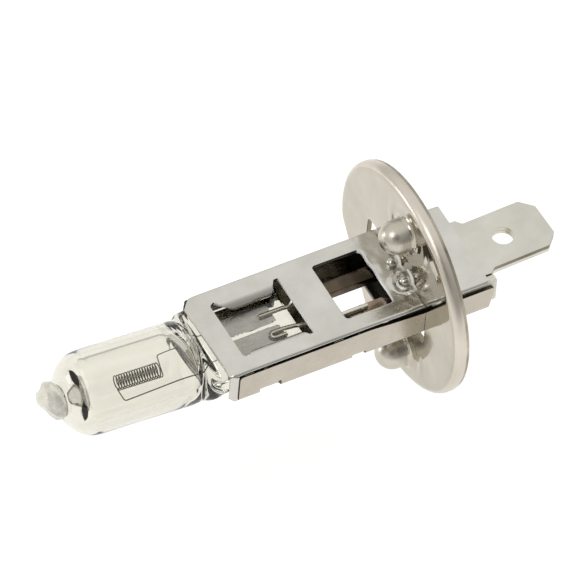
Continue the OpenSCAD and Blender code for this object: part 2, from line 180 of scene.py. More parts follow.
def linear(code):
    """The linear colour of an sRGB hex code."""
    parts = [int(code[i:i + 2], 16) / 255 for i in (1, 3, 5)]
    return tuple(c / 12.92 if c <= 0.04045 else ((c + 0.055) / 1.055) ** 2.4 for c in parts) + (1,)


def smooth(a, b, x):
    """0 before a, 1 after b and an even slope between."""
    t = min(1.0, max(0.0, (x - a) / (b - a)))
    return t * t * (3 - 2 * t)


def bell(distance, width):
    return math.exp(-(distance / width) ** 2)


def round_loop(corners, step=0.12):
    """A closed outline from corners (x, y, radius), with arcs at the corners."""
    loop = []
    count = len(corners)
    for i, (x, y, radius) in enumerate(corners):
        here = Vector((x, y))
        back = (Vector(corners[i - 1][:2]) - here).normalized()
        on = (Vector(corners[(i + 1) % count][:2]) - here).normalized()
        if radius <= 0:
            loop.append(here)
            continue
        half = math.acos(max(-1, min(1, back.dot(on)))) / 2
        reach = radius / math.tan(half)
        centre = here + (back + on).normalized() * (radius / math.sin(half))
        start = here + back * reach - centre
        turn = (math.pi - 2 * half) * (1 if start.cross(here + on * reach - centre) > 0 else -1)
        steps = max(2, round(abs(turn) * radius / step))
        for s in range(steps + 1):
            loop.append(centre + Matrix.Rotation(turn * s / steps, 2) @ start)
    return loop


def dense(loop, step):
    """The same outline with points no further apart than step."""
    out = []
    for i, point in enumerate(loop):
        after = loop[(i + 1) % len(loop)]
        parts = max(1, math.ceil((after - point).length / step))
        out += [point.lerp(after, p / parts) for p in range(parts)]
    return out


def ring(centre, radius, count):
    turn = 2 * math.pi / count
    return [Vector(centre) + radius * Vector((math.cos(i * turn), math.sin(i * turn)))
            for i in range(count)]


def within(point, loop):
    inside = False
    for i, a in enumerate(loop):
        b = loop[i - 1]
        if (a.y > point.y) != (b.y > point.y):
            if point.x < (b.x - a.x) * (point.y - a.y) / (b.y - a.y) + a.x:
                inside = not inside
    return inside


def blank(outer, holes, step, extra=()):
    """A flat sheet with holes as (points, triangles), with inner points on a grid and extra ones."""
    points, edges = [], []
    for loop in [outer] + holes:
        first = len(points)
        points += loop
        edges += [(first + i, first + (i + 1) % len(loop)) for i in range(len(loop))]
    low = Vector((min(p.x for p in outer), min(p.y for p in outer)))
    high = Vector((max(p.x for p in outer), max(p.y for p in outer)))
    grid = [Vector((low.x + i * step, low.y + j * step))
            for i in range(1, int((high.x - low.x) / step) + 1)
            for j in range(1, int((high.y - low.y) / step) + 1)]
    for group, room in ((extra, 0.06), (grid, step * 0.4)):
        tree = kd_tree(points)
        for p in group:
            if tree.find((p.x, p.y, 0))[2] > room and within(p, outer):
                if not any(within(p, hole) for hole in holes):
                    points.append(p)
    verts, _, faces, *_ = geometry.delaunay_2d_cdt(points, edges, [], 0, 1e-5)
    kept = []
    for face in faces:
        middle = sum((verts[i] for i in face), Vector((0, 0))) / 3
        if within(middle, outer) and not any(within(middle, hole) for hole in holes):
            kept.append(face)
    return verts, kept


def row(x0, x1, y, step=0.2):
    """Evenly spaced points along a line at y."""
    count = math.ceil((x1 - x0) / step)
    return [Vector((x0 + (x1 - x0) * i / count, y)) for i in range(count + 1)]


def kd_tree(points):
    tree = kdtree.KDTree(len(points))
    for i, p in enumerate(points):
        tree.insert((p.x, p.y, 0), i)
    tree.balance()
    return tree


def add_blank(bm, flat, place, turned=False):
    """Adds a flat sheet to bm, with each point moved by place(x, y)."""
    verts = [bm.verts.new(place(p.x, p.y)) for p in flat[0]]
    for face in flat[1]:
        bm.faces.new([verts[i] for i in (reversed(face) if turned else face)])


def add_rings(bm, rings, close_start=False, close_end=False):
    """Joins rings of equal count with quads, and closes an end with a fan if asked."""
    loops = [[bm.verts.new(p) for p in points] for points in rings]
    count = len(loops[0])
    for a, b in zip(loops, loops[1:]):
        for i in range(count):
            bm.faces.new((a[i], a[(i + 1) % count], b[(i + 1) % count], b[i]))
    for wanted, loop in ((close_start, loops[0]), (close_end, loops[-1])):
        if wanted:
            middle = bm.verts.new(sum((v.co for v in loop), Vector()) / count)
            for i in range(count):
                bm.faces.new((loop[i], loop[(i + 1) % count], middle))


def add_slab(bm, outline, low, high, place=lambda p: p):
    """Adds a closed plate with this outline between two heights."""
    flat = blank(outline[0], outline[1:], 5.0)
    place_at = [place(Vector((p.x, p.y, z))) for z in (low, high) for p in flat[0]]
    verts = [bm.verts.new(p) for p in place_at]
    count = len(flat[0])
    for face in flat[1]:
        bm.faces.new([verts[i + count] for i in face])
        bm.faces.new([verts[i] for i in reversed(face)])
    where = {(round(p.x, 5), round(p.y, 5)): i for i, p in enumerate(flat[0])}
    for loop in outline:
        ids = [where[(round(p.x, 5), round(p.y, 5))] for p in loop]
        for i, a in enumerate(ids):
            b = ids[(i + 1) % len(ids)]
            bm.faces.new((verts[a], verts[b], verts[b + count], verts[a + count]))


def new_piece(name, bm, materials, closed=True):
    """A mesh object in millimetres from bm; a closed one gets outward normals."""
    bmesh.ops.remove_doubles(bm, verts=bm.verts, dist=1e-4)
    if closed:
        bmesh.ops.recalc_face_normals(bm, faces=bm.faces)
    mesh = bpy.data.meshes.new(name)
    bm.to_mesh(mesh)
    bm.free()
    piece = bpy.data.objects.new(name, mesh)
    bpy.context.scene.collection.objects.link(piece)
    for material in materials:
        mesh.materials.append(material)
    return piece


def settle(piece, sharp=35):
    """Turns a piece's modifiers into plain mesh, scales it to metres and smooths it."""
    graph = bpy.context.evaluated_depsgraph_get()
    mesh = bpy.data.meshes.new_from_object(piece.evaluated_get(graph))
    piece.modifiers.clear()
    piece.data = mesh
    mesh.transform(Matrix.Scale(MM, 4))
    for polygon in mesh.polygons:
        polygon.use_smooth = True
    mesh.set_sharp_from_angle(angle=math.radians(sharp))


def thicken(piece, thickness, inner_slot=0):
    mod = piece.modifiers.new("sheet", "SOLIDIFY")
    mod.thickness = thickness
    mod.offset = -1
    mod.material_offset = inner_slot
    mod.material_offset_rim = 2 * inner_slot


def soften(piece, width, segments=2, angle=50):
    mod = piece.modifiers.new("edges", "BEVEL")
    mod.width = width
    mod.segments = segments
    mod.limit_method = "ANGLE"
    mod.angle_limit = math.radians(angle)
    mod.use_clamp_overlap = True
    mod.harden_normals = False


def stands_for(piece, node):
    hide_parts(node)
    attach(piece, "root")


def tilt(point):
    """A point given from the filament's middle, turned as the glass tube is."""
    turn = Matrix.Rotation(-TUBE_YAW, 4, "Z") @ Matrix.Rotation(TUBE_PITCH, 4, "Y")
    return turn @ Vector(point) - Vector((LIGHT_CENTRE, 0, 0))


# ------------------------------------------------------------------ materials


def add(tree, kind, inputs=None, **settings):
    """Adds a node with its settings, and sets or links its inputs."""
    made = tree.nodes.new(kind)
    for key, value in settings.items():
        setattr(made, key, value)
    for key, value in (inputs or {}).items():
        if isinstance(value, bpy.types.NodeSocket):
            tree.links.new(value, made.inputs[key])
        else:
            made.inputs[key].default_value = value
    return made


def new_material(name, **constants):
    """A Principled material: (material, tree, shader, object coordinates)."""
    material = bpy.data.materials.new(name)
    material.use_nodes = True
    tree = material.node_tree
    tree.nodes.clear()
    shader = add(tree, "ShaderNodeBsdfPrincipled")
    for key, value in constants.items():
        shader.inputs[key.replace("_", " ")].default_value = value
    output = add(tree, "ShaderNodeOutputMaterial")
    tree.links.new(shader.outputs[0], output.inputs["Surface"])
    place = add(tree, "ShaderNodeTexCoord").outputs["Object"]
    return material, tree, shader, place


def grain(tree, place, size_mm, stretch=(1, 1, 1), detail=4.0):
    """Noise whose cells are about size_mm across, longer where stretch is small."""
    mapped = add(tree, "ShaderNodeMapping", {"Vector": place, "Scale": stretch})
    return add(tree, "ShaderNodeTexNoise", {
        "Vector": mapped.outputs[0], "Scale": 1 / (size_mm * MM), "Detail": detail,
        "Roughness": 0.55,
    }).outputs["Fac"]


def spread(tree, value, low, high, start=0.3, end=0.7):
    return add(tree, "ShaderNodeMapRange", {
        "Value": value, "From Min": start, "From Max": end, "To Min": low, "To Max": high,
    }).outputs["Result"]


def tones(tree, value, dark, light):
    return add(tree, "ShaderNodeMix", {
        "Factor": spread(tree, value, 0, 1), 6: linear(dark), 7: linear(light),
    }, data_type="RGBA").outputs[2]


def relief(tree, value, depth_mm, strength=1.0, under=None):
    inputs = {"Height": value, "Distance": depth_mm * MM, "Strength": strength}
    if under is not None:
        inputs["Normal"] = under
    return add(tree, "ShaderNodeBump", inputs).outputs[0]


def sheet_metal(name, dark, light, rough=(0.16, 0.3), ripple=0.02, streak=(0.08, 1, 1),
                metallic=1.0):
    """Rolled and plated sheet: even colour, faint rolling streaks and a slightly wavy gloss."""
    material, tree, shader, place = new_material(name, Metallic=metallic)
    cloud = grain(tree, place, 3.0)
    lines = grain(tree, place, 0.12, streak, 3.0)
    tree.links.new(tones(tree, cloud, dark, light), shader.inputs["Base Color"])
    tree.links.new(spread(tree, lines, *rough), shader.inputs["Roughness"])
    waves = relief(tree, grain(tree, place, 1.6, detail=1.0), ripple)
    fine = relief(tree, lines, 0.002, 0.5, waves)
    tree.links.new(fine, shader.inputs["Normal"])
    return material


def quartz(name, dark, light, rough=0.0, size=0.9, stretch=(0.12, 1, 1), depth=0.01,
           clarity=1.0):
    """Fused quartz: clear, with faint drawing streaks along the tube."""
    material, tree, shader, place = new_material(
        name, Transmission_Weight=clarity, IOR=1.46, Roughness=rough)
    streaks = grain(tree, place, size, stretch, 2.0)
    tree.links.new(tones(tree, streaks, dark, light), shader.inputs["Base Color"])
    tree.links.new(relief(tree, streaks, depth, 0.4), shader.inputs["Normal"])
    return material


def wire_metal(name, dark, light, rough):
    """Drawn wire: fine drawing marks."""
    material, tree, shader, place = new_material(name, Metallic=1.0)
    marks = grain(tree, place, 0.05)
    tree.links.new(tones(tree, marks, dark, light), shader.inputs["Base Color"])
    tree.links.new(spread(tree, marks, rough, rough + 0.15), shader.inputs["Roughness"])
    tree.links.new(relief(tree, marks, 0.004), shader.inputs["Normal"])
    return material


def steatite():
    """Fired steatite ceramic: matt, with a fine pressed grain, and painted shade darkening its front
    inside the cap.
    """
    material, tree, shader, place = new_material("fired_steatite", Metallic=0.0, IOR=1.55)
    specks = grain(tree, place, 0.15)
    fired = tones(tree, specks, "#E4E0D0", "#F2F0E6")
    # Painted shade: near-black tones for the insulator's front, which sits in the cap's shadow.
    front_shade = tones(tree, specks, "#3B3730", "#57524A")
    along = add(tree, "ShaderNodeSeparateXYZ", {0: place}).outputs["X"]
    out_of_shade = spread(tree, along, 0.0, 1.0, 1.5 * MM, 3.5 * MM)
    mixed = add(tree, "ShaderNodeMix", {"Factor": out_of_shade, 6: front_shade, 7: fired}, data_type="RGBA")
    tree.links.new(mixed.outputs[2], shader.inputs["Base Color"])
    tree.links.new(spread(tree, specks, 0.55, 0.75), shader.inputs["Roughness"])
    tree.links.new(relief(tree, specks, 0.01), shader.inputs["Normal"])
    return material


EVEN = (1, 1, 1)
SATIN_NICKEL = sheet_metal("satin_nickel_plate", "#C6C4BD", "#D4D2CC")
WARM_NICKEL = sheet_metal("warm_nickel_plate", "#B4ADA0", "#C1BBAF", (0.18, 0.3))
# Inner faces of both shells: tones darker than the outside, painted shade of the cap's interior.
INNER_SHADE_STEEL = sheet_metal("inner_steel_painted_shade", "#7E796F", "#B8B3A8", (0.12, 0.22), 0.07, EVEN)
# Rear edges of the top plate's windows: near white and almost non-metallic, a painted highlight line.
WINDOW_EDGE_HIGHLIGHT = sheet_metal("window_edge_painted_highlight", "#FAF9F6", "#FFFFFF", (0.4, 0.5), metallic=0.1)
# Far prong of the blade inside the cap: near-black brass, painted shade.
BRASS_PAINTED_SHADE = sheet_metal("brass_in_painted_shade", "#2E2B26", "#66594A", (0.12, 0.3), 0.08, EVEN)
COPPER_TINT = sheet_metal("copper_tinted_brass", "#A39082", "#B5AAA0", (0.15, 0.3), 0.04, EVEN)
# Sheared edges of the shells: bare cut steel, made near black as painted shade of the gaps between
# the shells and at the plate's rear edge.
SHEARED_EDGE_SHADE = sheet_metal("sheared_edge_painted_shade", "#3E3A33", "#5C574D", (0.3, 0.5))
BRIGHT_NICKEL = sheet_metal("bright_nickel_plate", "#B4AEA1", "#C0BAAD", (0.06, 0.12), 0.02, EVEN)
ROLLED_RIM = sheet_metal("rolled_nickel_rim", "#C8C1B4", "#D4CDC1", (0.28, 0.4), 0.03, EVEN)
BURNISHED_NICKEL = sheet_metal(
    "burnished_nickel_plate", "#BCB6AA", "#C8C4B9", (0.26, 0.36), 0.03, EVEN)
SHEARED_STEEL = sheet_metal("sheared_steel_edge", "#7C7467", "#C2BBAC", (0.3, 0.6), 0.06, EVEN)
TIN_PLATE = sheet_metal("tin_plated_brass", "#C6C3B9", "#D4D2CA", (0.12, 0.22))
CUT_BRASS = sheet_metal("cut_brass_edge", "#6A6455", "#8C8676", (0.25, 0.4))
WELD_METAL = wire_metal("melted_weld_metal", "#A8A49A", "#CFCBC2", 0.12)
TUNGSTEN = wire_metal("drawn_tungsten", "#5C5750", "#7E776C", 0.4)
MOLYBDENUM = sheet_metal("etched_molybdenum_foil", "#B7B8B7", "#CDCECC", (0.25, 0.4))
NICKEL_WIRE = wire_metal("nickel_wire", "#D2CCBE", "#EFEADF", 0.25)
BARE_BRASS = wire_metal("punched_brass", "#C0BBAC", "#DCD8CB", 0.3)
QUARTZ = quartz("fused_quartz", "#DBD8CC", "#E2E0D6")
CLEAR_BORE = quartz("fused_quartz_bore", "#FBFAF7", "#FFFFFF")
MELTED_TIP = quartz("melted_quartz_tip", "#F0ECDE", "#FFFDF4", 0.03, 0.35, EVEN, 0.2,
                    0.45)
STEATITE = steatite()


# --------------------------------------------------------------------- glass


def capsule_ring(x, half_y, half_z, power, web):
    """One section of the capsule at x from the filament's middle."""
    points = []
    weight = 1 - smooth(4.4, 6.6, x)
    for i in range(CAPSULE_SIDES):
        a = 2 * math.pi * i / CAPSULE_SIDES
        c, s = math.cos(a), math.sin(a)
        y = half_y * math.copysign(abs(c) ** (2 / power), c)
        z = half_z * math.copysign(abs(s) ** (2 / power), s)
        rib = smooth(PINCH_W / 2 - PINCH_RIB_W - 0.3, PINCH_W / 2 - PINCH_RIB_W + 0.1, abs(y))
        z *= 1 - web * (1 - rib) * (1 - PINCH_WEB_T / PINCH_RIB_T)
        tip = smooth(-DOME_REACH + 0.3, -DOME_REACH - TIP_LEN, x) * (half_y < TIP_WIDEST)
        rough = noise.noise(Vector((x * 1.1, 2.2 * c, 2.2 * s)))
        rough += 0.5 * noise.noise(Vector((x * 2.5, 5 * c, 5 * s)))
        lump = 1 + 0.09 * smooth(0, 0.15, tip) * rough
        y, z = y * lump + TIP_LEAN * tip, z * lump + TIP_LEAN * tip
        pressed = smooth(6.5, 8, x) * (0.05 + 0.07 * smooth(13.4, 14.6, x))
        z += pressed * noise.noise(Vector((x * 0.9, y * 1.3, 3 * math.copysign(1, s))))
        straight = Vector((x - LIGHT_CENTRE, y, z))
        points.append(straight.lerp(tilt((x, y, z)), weight))
    return points


def tube_profile():
    """Outer (x, radius) stations from the exhaust tip to the end of the round tube."""
    front = -DOME_REACH
    stations = [(front - TIP_LEN * reach, TIP_R * share) for reach, share in (
        (1.0, 0.08), (0.98, 0.24), (0.92, 0.38), (0.82, 0.48), (0.72, 0.56), (0.65, 0.68),
        (0.57, 0.84), (0.46, 0.95), (0.32, 1.0), (0.18, 1.0), (0.06, 0.92))]
    stations.append((front + 0.14, 1.42))
    for k in range(1, 11):
        a = math.radians(k * 9)
        stations.append((front + 0.12 + DOME_ROUND * (1 - math.cos(a)) - 0.12 * math.sin(a),
                         TUBE_R - DOME_ROUND + DOME_ROUND * math.sin(a)))
    stations.append((-2.0, TUBE_R))
    stations += [(x, TUBE_R) for x in (0, 2.0, 3.6)]
    return stations


def glass_capsule():
    """The tube, dome, melted tip and pinch, with the cavity as a second closed surface."""
    bm = bmesh.new()
    outer = [capsule_ring(x, r, r, 2, 0) for x, r in tube_profile()]
    shoulder_start, shoulder_end = SHOULDER
    for k in range(1, 15):
        t = k / 14
        x = shoulder_start + (shoulder_end - shoulder_start) * t
        wide = TUBE_R + (PINCH_W / 2 - TUBE_R) * smooth(0.1, 0.8, t)
        thick = TUBE_R + (PINCH_RIB_T / 2 - TUBE_R) * smooth(0.05, 0.98, t) ** 0.9
        outer.append(capsule_ring(x, wide, thick, 2 + 5 * smooth(0.3, 1, t), 0))
    for x, web in ((6.9, 0), (7.3, 0.25), (7.7, 0.8), (8.1, 1), (10, 1), (12, 1), (14.4, 1)):
        outer.append(capsule_ring(x, PINCH_W / 2, PINCH_RIB_T / 2, 8, web))
    outer.append(capsule_ring(14.7, PINCH_W / 2 - 0.25, PINCH_RIB_T / 2 - 0.2, 8, 1))
    add_rings(bm, outer, close_start=True, close_end=True)
    outside = len(bm.faces)
    inner = []
    front = -DOME_REACH + DOME_WALL
    flat = BORE_R - CAVITY_ROUND
    for k in range(1, 5):
        inner.append((front + CAVITY_RISE * k / 4 - FUNNEL_DEPTH * bell(flat * k / 4, FUNNEL_R),
                      flat * k / 4))
    for k in range(1, 13):
        a = math.radians(k * 7.5)
        inner.append((front + CAVITY_RISE + CAVITY_ROUND * (1 - math.cos(a)),
                      flat + CAVITY_ROUND * math.sin(a)))
    rings = [capsule_ring(x, r, r, 2, 0) for x, r in inner]
    rings += [capsule_ring(x, BORE_R, BORE_R, 2, 0) for x in (-2.5, 0, CAVITY_REAR)]
    for k in range(1, 11):
        t = k / 10
        rings.append(capsule_ring(CAVITY_REAR + CAVITY_TAPER * math.sin(t * math.pi / 2),
                                  BORE_R + 0.1 * t - 1.2 * t ** 4,
                                  0.25 + (BORE_R - 0.25) * math.cos(t * math.pi / 2) ** 0.8, 2, 0))
    add_rings(bm, rings, close_start=True, close_end=True)
    piece = new_piece("quartz_capsule", bm, [QUARTZ, CLEAR_BORE, MELTED_TIP])
    bore_slot, tip_slot = 1, 2
    for face in piece.data.polygons[outside:]:
        face.flip()
        face.material_index = bore_slot
    for face in piece.data.polygons[:outside]:
        if face.center.x < -LIGHT_CENTRE - DOME_REACH + 0.05:
            face.material_index = tip_slot
    settle(piece, 60)
    stands_for(piece, "glass_capsule")


# ------------------------------------------------------------- wires and foils


def wire_tree():
    """Node tree: a round wire along the piece's own edges."""
    tree = bpy.data.node_groups.new("drawn_wire", "GeometryNodeTree")
    tree.interface.new_socket("Geometry", in_out="INPUT", socket_type="NodeSocketGeometry")
    for name, kind in (("Diameter", "NodeSocketFloat"), ("Sides", "NodeSocketInt"),
                       ("Metal", "NodeSocketMaterial")):
        tree.interface.new_socket(name, in_out="INPUT", socket_type=kind)
    tree.interface.new_socket("Geometry", in_out="OUTPUT", socket_type="NodeSocketGeometry")
    given = add(tree, "NodeGroupInput").outputs
    path = add(tree, "GeometryNodeMeshToCurve", {"Mesh": given["Geometry"]})
    radius = add(tree, "ShaderNodeMath", {0: given["Diameter"], 1: 0.5}, operation="MULTIPLY")
    section = add(tree, "GeometryNodeCurvePrimitiveCircle", {
        "Resolution": given["Sides"], "Radius": radius.outputs[0]})
    swept = add(tree, "GeometryNodeCurveToMesh", {
        "Curve": path.outputs[0], "Profile Curve": section.outputs[0], "Fill Caps": True})
    real = add(tree, "GeometryNodeRealizeInstances", {"Geometry": swept.outputs[0]})
    dressed = add(tree, "GeometryNodeSetMaterial", {
        "Geometry": real.outputs[0], "Material": given["Metal"]})
    add(tree, "NodeGroupOutput", {"Geometry": dressed.outputs[0]})
    return tree


def bead_tree():
    """Node tree: a flattened melted bead on each point of the piece."""
    tree = bpy.data.node_groups.new("weld_beads", "GeometryNodeTree")
    tree.interface.new_socket("Geometry", in_out="INPUT", socket_type="NodeSocketGeometry")
    for name, kind in (("Radius", "NodeSocketFloat"), ("Flatness", "NodeSocketFloat"),
                       ("Metal", "NodeSocketMaterial")):
        tree.interface.new_socket(name, in_out="INPUT", socket_type=kind)
    tree.interface.new_socket("Geometry", in_out="OUTPUT", socket_type="NodeSocketGeometry")
    given = add(tree, "NodeGroupInput").outputs
    points = add(tree, "GeometryNodeMeshToPoints", {"Mesh": given["Geometry"]})
    ball = add(tree, "GeometryNodeMeshUVSphere", {
        "Segments": 32, "Rings": 20, "Radius": given["Radius"]})
    size = add(tree, "ShaderNodeCombineXYZ", {"X": 1.0, "Y": 1.0, "Z": given["Flatness"]})
    beads = add(tree, "GeometryNodeInstanceOnPoints", {
        "Points": points.outputs[0], "Instance": ball.outputs[0], "Scale": size.outputs[0]})
    real = add(tree, "GeometryNodeRealizeInstances", {"Geometry": beads.outputs[0]})
    dressed = add(tree, "GeometryNodeSetMaterial", {
        "Geometry": real.outputs[0], "Material": given["Metal"]})
    add(tree, "NodeGroupOutput", {"Geometry": dressed.outputs[0]})
    return tree


WIRE_TREE = wire_tree()
BEAD_TREE = bead_tree()


def use_tree(piece, tree, **values):
    """Adds a node tree as a modifier and sets its inputs by name."""
    mod = piece.modifiers.new(tree.name, "NODES")
    mod.node_group = tree
    for item in tree.interface.items_tree:
        if item.item_type == "SOCKET" and item.in_out == "INPUT" and item.name in values:
            mod[item.identifier] = values[item.name]


def bent_path(points, reach, steps=5):
    """A path of straight runs with short curves at its inner corners."""
    points = [Vector(p) for p in points]
    out = [points[0]]
    for before, here, after in zip(points, points[1:], points[2:]):
        a = here + (before - here).normalized() * min(reach, (before - here).length / 2)
        b = here + (after - here).normalized() * min(reach, (after - here).length / 2)
        out += [a.lerp(here, t).lerp(here.lerp(b, t), t) for t in
                [k / steps for k in range(steps + 1)]]
    out.append(points[-1])
    return out


def wire(name, path, diameter, metal, node, sides=12):
    bm = bmesh.new()
    verts = [bm.verts.new(p) for p in path]
    for a, b in zip(verts, verts[1:]):
        bm.edges.new((a, b))
    piece = new_piece(name, bm, [metal])
    use_tree(piece, WIRE_TREE, Diameter=diameter, Sides=sides, Metal=metal)
    settle(piece, 60)
    stands_for(piece, node)


def filament():
    radius = (COIL_D - WIRE_D) / 2
    steps = 24
    coil = []
    for i in range(COIL_TURNS * steps + 1):
        a = 2 * math.pi * i / steps
        x = COIL_LEN * (i / (COIL_TURNS * steps) - 0.5)
        coil.append(tilt((x, -radius * math.cos(a), radius * math.sin(a))))
    on_foil = (FOIL_T + WIRE_D) / 2
    near = bent_path([
        (FOIL_X + 0.8, -1.4, on_foil), (PINCH_X - 0.9, -1.8, on_foil),
        tilt((-COIL_LEN / 2 - 0.15, -2.0, 0.1)), tilt((-COIL_LEN / 2 - 0.1, -radius + 0.1, -0.1)),
        coil[0] + Vector((0, 0.1, -0.1)),
    ], 0.25)
    far = bent_path([
        coil[-1] + Vector((0.05, 0.1, -0.1)), tilt((COIL_LEN / 2 + 0.45, 1.5, 0.1)),
        (PINCH_X - 0.9, 1.5, on_foil), (FOIL_X + 0.8, 1.1, on_foil),
    ], 0.25)
    wire("coiled_filament", near + coil + far, WIRE_D, TUNGSTEN, "filament", 8)


def foil(node, side):
    """Etched foil; the ground foil's inner long edge is serrated."""
    bm = bmesh.new()
    low = FOIL_GAP / 2
    loop = round_loop([(FOIL_X, low, 0.2), (FOIL_X + FOIL_LEN, low, 0.15),
                       (FOIL_X + FOIL_LEN, low + FOIL_W, 0.15), (FOIL_X, low + FOIL_W, 0.2)])
    flat = blank(dense(loop, 0.2), [], 0.2)

    def place(x, y):
        sag = 0.015 * noise.noise(Vector((x * 1.2, y * 1.5, 3.0 * side)))
        if side > 0 and y < low + 0.02:
            y += 0.11 * (round(x / 0.2) % 2)
        return Vector((x, side * y, FOIL_T / 2 + sag))

    add_blank(bm, flat, place)
    piece = new_piece(node + "_strip", bm, [MOLYBDENUM])
    thicken(piece, FOIL_T)
    settle(piece)
    stands_for(piece, node)


def leads():
    on_foil = (FOIL_T + LEAD_D) / 2
    start = FOIL_X + FOIL_LEN - 1.2
    foil_y = (FOIL_GAP + FOIL_W) / 2
    live_z = BLADE_TOP - BLADE_T + TONGUE_T + LEAD_D / 2
    wire("live_lead_wire", bent_path([
        (start + 1.3, -foil_y - 0.35, on_foil), (start, -foil_y - 0.35, on_foil),
        (start, -foil_y + 0.25, on_foil), (start + 1.2, -foil_y + 0.25, on_foil),
        (PINCH_END + 0.7, -foil_y, on_foil),
        (TONGUE_TIP - 0.4, TONGUE_Y, live_z), (TONGUE_TIP + 2.2, TONGUE_Y, live_z),
    ], 0.5), LEAD_D, NICKEL_WIRE, "lead_live", 16)
    ground_z = PLATE_TOP - SHEET_T - LEAD_D / 2
    wire("ground_lead_wire", bent_path([
        (start, foil_y, on_foil), (PINCH_END + 0.6, foil_y, on_foil),
        (-8.9, foil_y + 0.9, ground_z), (-7.5, foil_y + 0.9, ground_z),
    ], 0.4), LEAD_D, NICKEL_WIRE, "lead_ground", 16)


# -------------------------------------------------------------------- shells


def window_loop(span, flaps):
    """Outline of a window, with a clamping flap on both long sides if asked."""
    x0, x1 = span
    half = WINDOW_HALF
    if not flaps:
        return dense(round_loop([(x0, -half, 0.3), (x1, -half, 0.45), (x1, half, 0.45),
                                 (x0, half, 0.3)]), 0.25)
    root = half + FLAP_ROOT
    free = root - FLAP_LEN
    side = [(x0, half - 0.25, 0.2), (x0 + NOTCH, root, 0.22), (x0 + 0.95, half - 0.5, 0.5),
            (x0 + 2.0, free, 0.9), (x1 - 1.1, free, 0.4), (x1 - 0.75, half - 0.4, 0.3),
            (x1 - NOTCH, root, 0.15), (x1, root, 0.12)]
    corners = side + [(x, -y, r) for x, y, r in reversed(side)]
    return dense(round_loop(corners, 0.12), 0.2)


def flap_bent(y):
    """Where a point of the flat blank lies once its flap is bent: (y, drop)."""
    root = WINDOW_HALF + FLAP_ROOT
    along = root - abs(y)
    if along <= 0:
        return y, 0.0
    angle = along / FLAP_BEND
    return (math.copysign(root - FLAP_BEND * math.sin(angle), y),
            FLAP_BEND * (1 - math.cos(angle)))


def in_flap(x):
    return FRONT_WINDOW[0] + NOTCH < x < FRONT_WINDOW[1] - NOTCH


def plate_point(x, y):
    """The top plate's outer face, with its rolled edges, lip, flaps and joggle."""
    drop = 0.0
    if in_flap(x) and abs(y) < WINDOW_HALF + FLAP_ROOT:
        y, drop = flap_bent(y)
    edge = abs(y) - (PLATE_HALF - EDGE_BEND)
    if edge > 0:
        drop += EDGE_BEND - math.sqrt(EDGE_BEND ** 2 - min(edge, EDGE_BEND * 0.97) ** 2)
    lip = PLATE_FRONT + LIP_LEN - x
    if lip > 0:
        drop += 0.3 * (lip / LIP_LEN) ** 2.2
    drop += 0.06 * bell(x - PLATE_FRONT - 0.95, 0.18)
    near = math.hypot(x - WELD_X, y - WELD_Y[0])
    side = smooth(0.3, -0.5, x - WELD_X)
    drop += side * (0.16 * bell(near - 0.72, 0.2) - 0.16 * bell(near - 1.12, 0.2))
    wave = noise.noise(Vector((x * 1.1, y * 0.9, 4)))
    wave += 0.5 * noise.noise(Vector((x * 3, y * 1.5, 1)))
    drop += 0.05 * wave * smooth(-3.2, -1.2, x) * smooth(1.5, 0.3, x)
    drop -= 0.14 * bell(math.hypot(x + 1.5, y - 0.75), 0.55)
    drop += 0.012 * noise.noise(Vector((x * 0.5, y * 0.5, 7)))
    return Vector((x, y, PLATE_TOP - drop))


def upper_shell():
    bm = bmesh.new()
    corner = 0.95
    near_corner = 0.35
    outer = dense(round_loop([
        (PLATE_FRONT, near_corner - PLATE_HALF, 0.15),
        (PLATE_FRONT + near_corner, -PLATE_HALF, 0.15),
        (PLATE_REAR, -PLATE_HALF, 0.35), (PLATE_REAR, PLATE_HALF, 0.35),
        (PLATE_FRONT + corner, PLATE_HALF, 0.4), (PLATE_FRONT, PLATE_HALF - corner, 0.25),
    ]), 0.2)
    extra = [p for side in (-1, 1) for k in range(1, 5)
             for p in row(PLATE_FRONT, PLATE_REAR, side * (PLATE_HALF - k * 0.07))]
    extra += [p for k in range(1, 14) for p in ring((WELD_X, WELD_Y[0]), k * 0.12, 12 + 4 * k)]
    flat = blank(outer, [window_loop(FRONT_WINDOW, True), window_loop(REAR_WINDOW, False)],
                 0.2, extra)
    add_blank(bm, flat, plate_point)
    for side in (-1, 1):
        tab = [Vector((CHANNEL_FRONT - 0.7, CHANNEL_BOTTOM + 0.12)),
               Vector((CHANNEL_FRONT - 0.06, CHANNEL_BOTTOM + 0.05)),
               Vector((CHANNEL_FRONT - 0.06, PLATE_TOP - SHEET_T - 0.02)),
               Vector((CHANNEL_FRONT - 0.7, PLATE_TOP - SHEET_T - 0.05))]

        def place(x, z, side=side):
            turn = 0.5 * smooth(CHANNEL_FRONT - 0.3, CHANNEL_FRONT - 0.75, x)
            return Vector((x, side * (PLATE_HALF - turn), z))

        add_blank(bm, blank(dense(tab, 0.12), [], 0.12), place, side > 0)
    piece = new_piece("upper_shell_pressing", bm,
                      [SATIN_NICKEL, INNER_SHADE_STEEL, SHEARED_EDGE_SHADE, WINDOW_EDGE_HIGHLIGHT], closed=False)
    # Inner faces take slot 1, whose darker tones are painted shade.
    # Rim faces take slot 2, the sheared edges' painted shade.
    thicken(piece, SHEET_T, 1)
    soften(piece, EDGE_SOFTNESS)
    settle(piece)
    # Window rims that face the nose take the painted highlight material in slot 3.
    edge_slot, cut_slot = 2, 3
    for face in piece.data.polygons:
        in_window = abs(face.center.y) < (WINDOW_HALF + FLAP_ROOT + 0.05) * MM
        if face.material_index == edge_slot and in_window and face.normal.x < -0.5:
            face.material_index = cut_slot
    stands_for(piece, "upper_shell")


